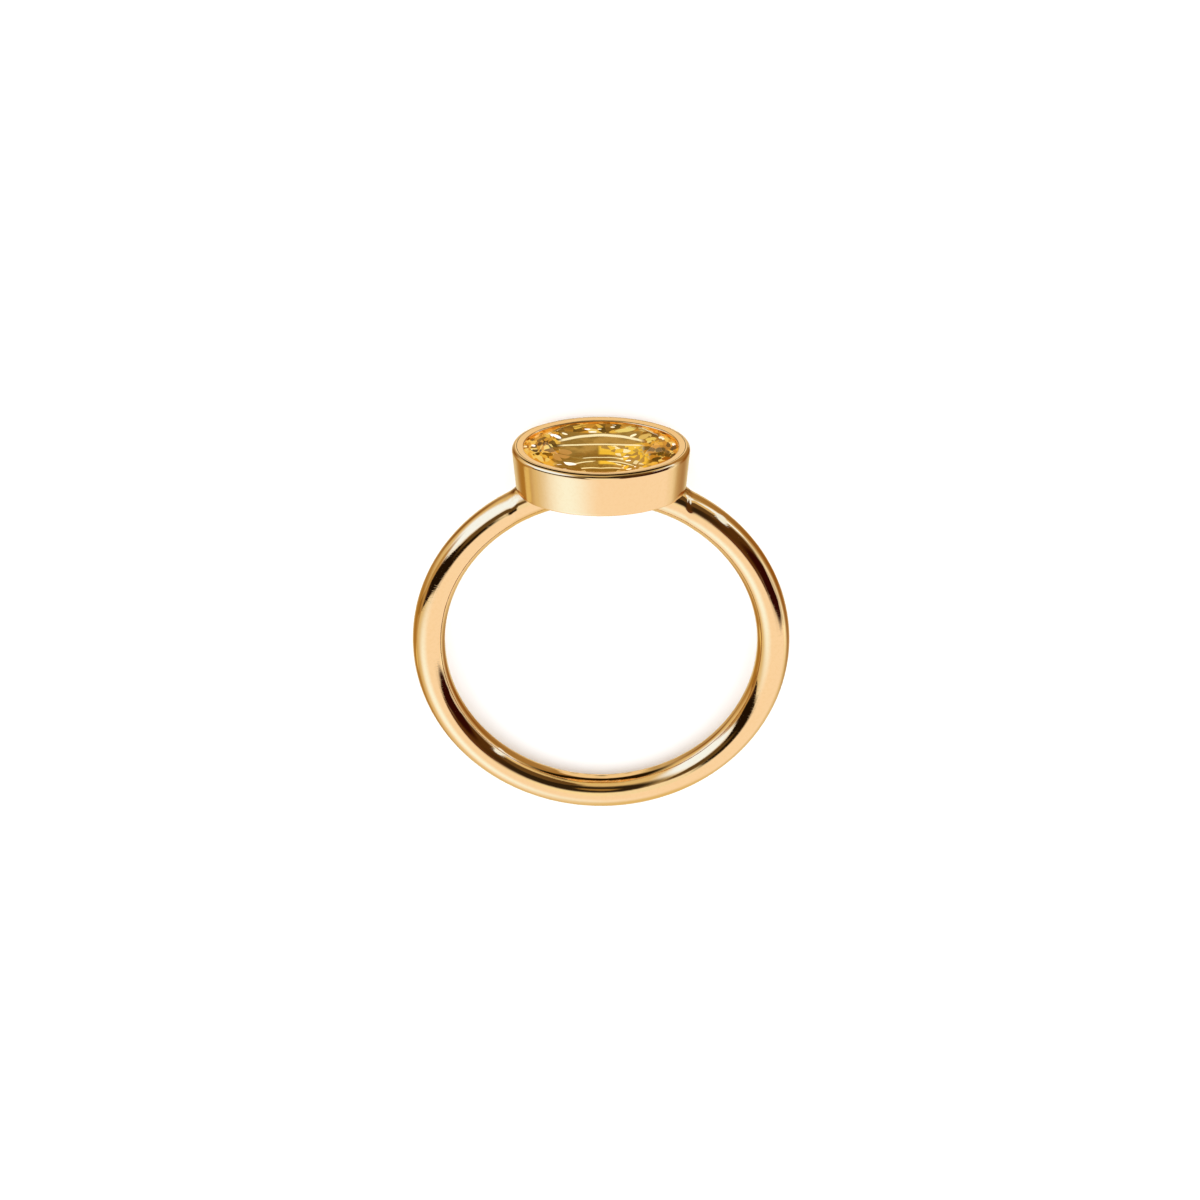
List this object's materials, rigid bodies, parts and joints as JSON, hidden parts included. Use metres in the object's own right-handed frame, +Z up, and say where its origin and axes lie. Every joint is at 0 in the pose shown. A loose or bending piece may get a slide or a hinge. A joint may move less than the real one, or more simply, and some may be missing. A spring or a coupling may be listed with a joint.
{
  "type": "pinky ring",
  "caption": "Finger ring: a round wire band with an oval faceted stone in a plain rubbed-over setting, long axis along the band.",
  "frame": {"origin": "on the table, under the middle of the bounding box of the ring lying on its side", "axes": "+Z up from the table, +Y towards the stone, X across the finger hole and along the stone's long axis"},
  "size_m": [0.0184, 0.0202, 0.0068],
  "materials": {
    "gold": "mirror polished yellow gold",
    "golden_stone": "polished, faceted, transparent golden yellow"
  },
  "bodies": {
    "root": {"band_and_setting": "gold", "oval_stone": "golden_stone"}
  },
  "joints": []
}
